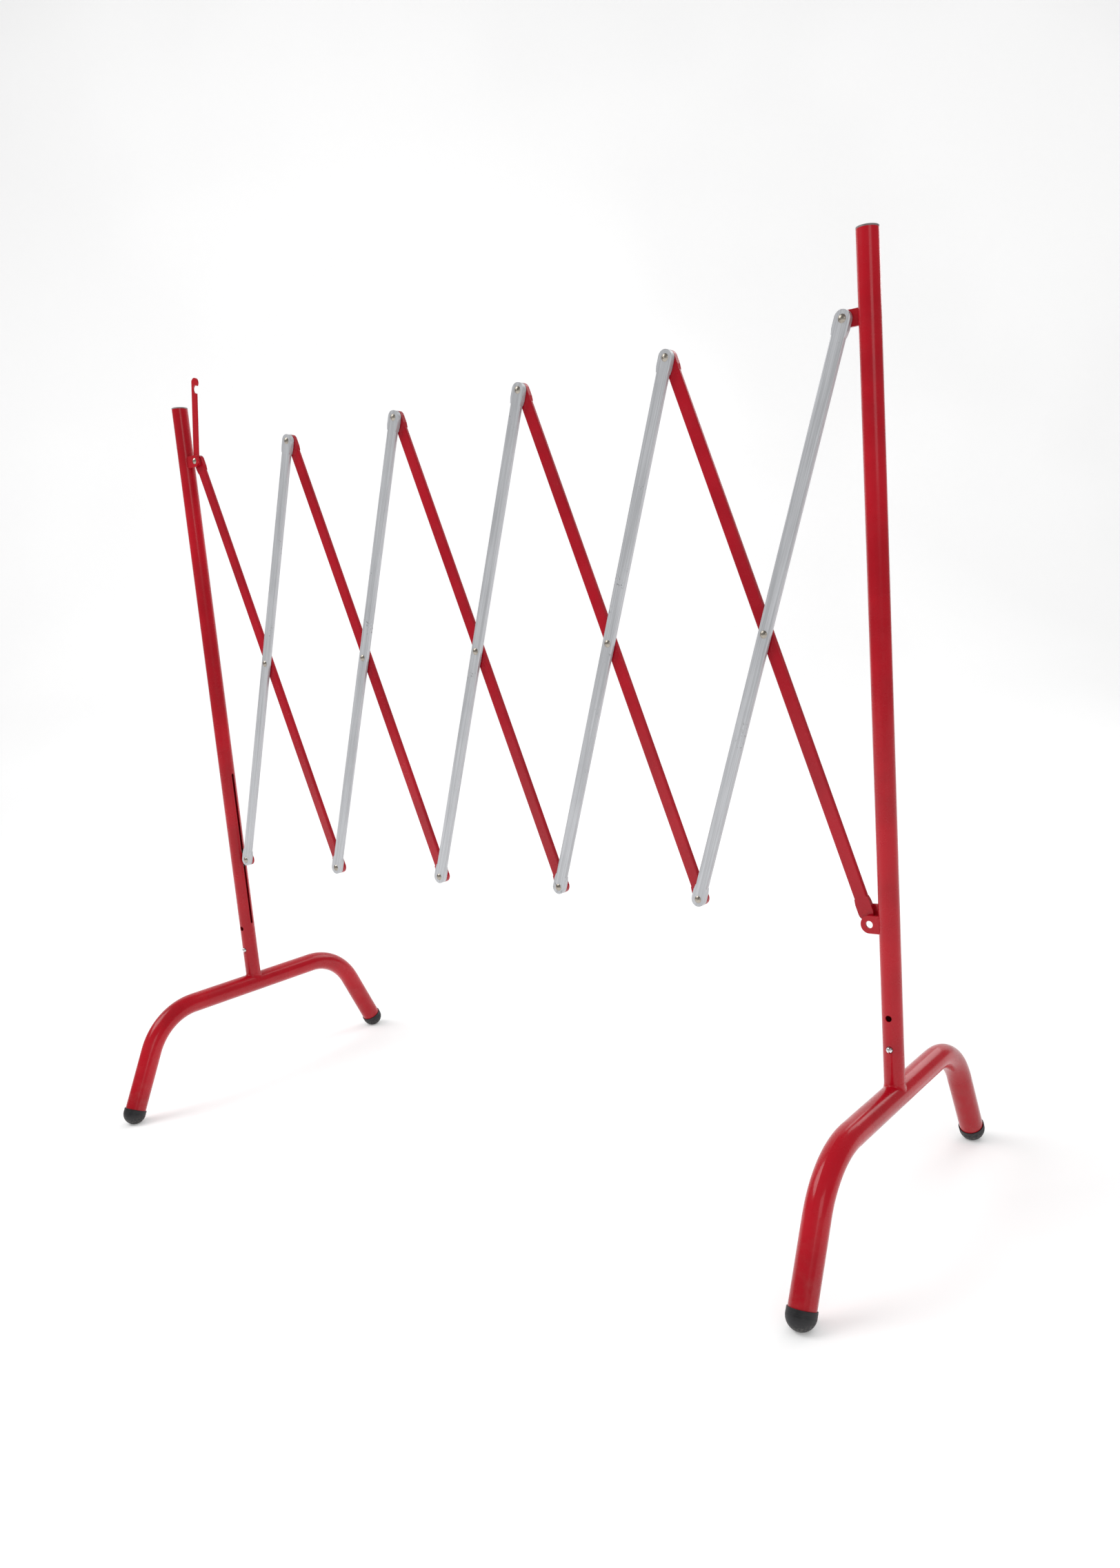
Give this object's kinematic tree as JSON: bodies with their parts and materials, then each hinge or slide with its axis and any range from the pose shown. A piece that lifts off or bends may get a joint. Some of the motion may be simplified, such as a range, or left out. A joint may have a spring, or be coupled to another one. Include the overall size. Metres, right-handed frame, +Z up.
{
  "type": "expanding barrier",
  "caption": "Expanding scissor barrier: round posts on arched tube feet with rubber caps, joined by a riveted lattice of crossed bars, with a hook at one end and an eye at the other.",
  "frame": {"origin": "on the floor under the middle of the barrier as modelled, half open", "axes": "+X along the barrier from the post with the hook to the post with the eye, +Y from the side that shows the silver bars to the other side, +Z up"},
  "size_m": [1.0868, 0.492, 1.034],
  "materials": {
    "red_paint": "deep crimson gloss paint with faint orange peel",
    "silver_paint": "satin silver-grey paint",
    "rivet_steel": "plain steel, dulled by pressing",
    "zinc_steel": "zinc plated, satin",
    "foot_rubber": "black moulded rubber, dull",
    "plug_plastic": "grey moulded plastic",
    "slider_plastic": "black moulded nylon",
    "button_chrome": "bright plated steel",
    "spring_steel": "blued spring steel"
  },
  "bodies": {
    "left_frame": {"left_post": "red_paint", "left_post_plug": "plug_plastic", "left_top_bracket": "red_paint", "left_top_rivet": "rivet_steel", "left_foot_tube": "red_paint", "left_spigot": "zinc_steel", "left_front_foot_cap": "foot_rubber", "left_rear_foot_cap": "foot_rubber", "left_button_spring": "spring_steel"},
    "left_button": {"left_snap_button": "button_chrome"},
    "hook": {"link_hook": "red_paint"},
    "rear_1": {"rear_bar_1": "red_paint", "bar_rivets_1": "rivet_steel", "bar_washers_1": "zinc_steel"},
    "front_1": {"front_bar_1": "silver_paint"},
    "rear_2": {"rear_bar_2": "red_paint", "bar_rivets_2": "rivet_steel", "bar_washers_2": "zinc_steel"},
    "front_2": {"front_bar_2": "silver_paint"},
    "rear_3": {"rear_bar_3": "red_paint", "bar_rivets_3": "rivet_steel", "bar_washers_3": "zinc_steel"},
    "front_3": {"front_bar_3": "silver_paint"},
    "rear_4": {"rear_bar_4": "red_paint", "bar_rivets_4": "rivet_steel", "bar_washers_4": "zinc_steel"},
    "front_4": {"front_bar_4": "silver_paint"},
    "rear_5": {"rear_bar_5": "red_paint", "bar_rivets_5": "rivet_steel", "bar_washers_5": "zinc_steel"},
    "front_5": {"front_bar_5": "silver_paint"},
    "left_slider": {"left_slider": "slider_plastic", "left_slider_tongue": "red_paint", "left_slide_rivet": "rivet_steel", "left_slide_washer": "zinc_steel"},
    "right_frame": {"right_post": "red_paint", "right_post_plug": "plug_plastic", "right_top_bracket": "red_paint", "right_top_rivet": "rivet_steel", "right_top_washer": "zinc_steel", "link_eye": "red_paint", "right_foot_tube": "red_paint", "right_spigot": "zinc_steel", "right_front_foot_cap": "foot_rubber", "right_rear_foot_cap": "foot_rubber", "right_button_spring": "spring_steel"},
    "right_button": {"right_snap_button": "button_chrome"},
    "right_slider": {"right_slider": "slider_plastic", "right_slider_tongue": "red_paint", "right_slide_rivet": "red_paint"}
  },
  "joints": [
    {"name": "fold", "type": "hinge", "parent": "left_frame", "child": "rear_1", "pos_m": [-0.50219, 0, 0.9235], "axis": [0, -1, 0], "range_deg": [-15, 22]},
    {"name": "cross_1", "type": "hinge", "parent": "rear_1", "child": "front_1", "pos_m": [-0.40175, 0, 0.63181], "axis": [0, -1, 0], "range_deg": [-44, 30]},
    {"name": "upper_1", "type": "hinge", "parent": "front_1", "child": "rear_2", "pos_m": [-0.30131, 0, 0.9235], "axis": [0, -1, 0], "range_deg": [-30, 44]},
    {"name": "cross_2", "type": "hinge", "parent": "rear_2", "child": "front_2", "pos_m": [-0.20088, 0, 0.63181], "axis": [0, -1, 0], "range_deg": [-44, 30]},
    {"name": "upper_2", "type": "hinge", "parent": "front_2", "child": "rear_3", "pos_m": [-0.10044, 0, 0.9235], "axis": [0, -1, 0], "range_deg": [-30, 44]},
    {"name": "cross_3", "type": "hinge", "parent": "rear_3", "child": "front_3", "pos_m": [0, 0, 0.63181], "axis": [0, -1, 0], "range_deg": [-44, 30]},
    {"name": "upper_3", "type": "hinge", "parent": "front_3", "child": "rear_4", "pos_m": [0.10044, 0, 0.9235], "axis": [0, -1, 0], "range_deg": [-30, 44]},
    {"name": "cross_4", "type": "hinge", "parent": "rear_4", "child": "front_4", "pos_m": [0.20088, 0, 0.63181], "axis": [0, -1, 0], "range_deg": [-44, 30]},
    {"name": "upper_4", "type": "hinge", "parent": "front_4", "child": "rear_5", "pos_m": [0.30131, 0, 0.9235], "axis": [0, -1, 0], "range_deg": [-30, 44]},
    {"name": "cross_5", "type": "hinge", "parent": "rear_5", "child": "front_5", "pos_m": [0.40175, 0, 0.63181], "axis": [0, -1, 0], "range_deg": [-44, 30]},
    {"name": "right_end", "type": "hinge", "parent": "front_5", "child": "right_frame", "pos_m": [0.50219, 0, 0.9235], "axis": [0, -1, 0], "range_deg": [-15, 22]},
    {"name": "left_guide", "type": "hinge", "parent": "front_1", "child": "left_slider", "pos_m": [-0.50219, 0, 0.34012], "axis": [0, -1, 0], "range_deg": [-15, 22]},
    {"name": "right_guide", "type": "hinge", "parent": "rear_5", "child": "right_slider", "pos_m": [0.50219, 0, 0.34012], "axis": [0, -1, 0], "range_deg": [-22, 15]},
    {"name": "hook_swing", "type": "hinge", "parent": "left_frame", "child": "hook", "pos_m": [-0.50219, -0.0021, 0.9235], "axis": [0, 1, 0], "range_deg": [-16, 30]},
    {"name": "left_button_press", "type": "slide", "parent": "left_frame", "child": "left_button", "axis": [0, 1, 0], "range_m": [0, 0.0048], "stiffness_N_per_m": 500, "springref_m": -0.006, "deforming": ["left_button_spring"]},
    {"name": "right_button_press", "type": "slide", "parent": "right_frame", "child": "right_button", "axis": [0, 1, 0], "range_m": [0, 0.0048], "stiffness_N_per_m": 500, "springref_m": -0.006, "deforming": ["right_button_spring"]}
  ],
  "couplings": [
    {"joint": "cross_1", "follows": "fold", "ratio": -2},
    {"joint": "upper_1", "follows": "fold", "ratio": 2},
    {"joint": "cross_2", "follows": "fold", "ratio": -2},
    {"joint": "upper_2", "follows": "fold", "ratio": 2},
    {"joint": "cross_3", "follows": "fold", "ratio": -2},
    {"joint": "upper_3", "follows": "fold", "ratio": 2},
    {"joint": "cross_4", "follows": "fold", "ratio": -2},
    {"joint": "upper_4", "follows": "fold", "ratio": 2},
    {"joint": "cross_5", "follows": "fold", "ratio": -2},
    {"joint": "right_end", "follows": "fold", "ratio": 1},
    {"joint": "left_guide", "follows": "fold", "ratio": 1},
    {"joint": "right_guide", "follows": "fold", "ratio": -1}
  ]
}
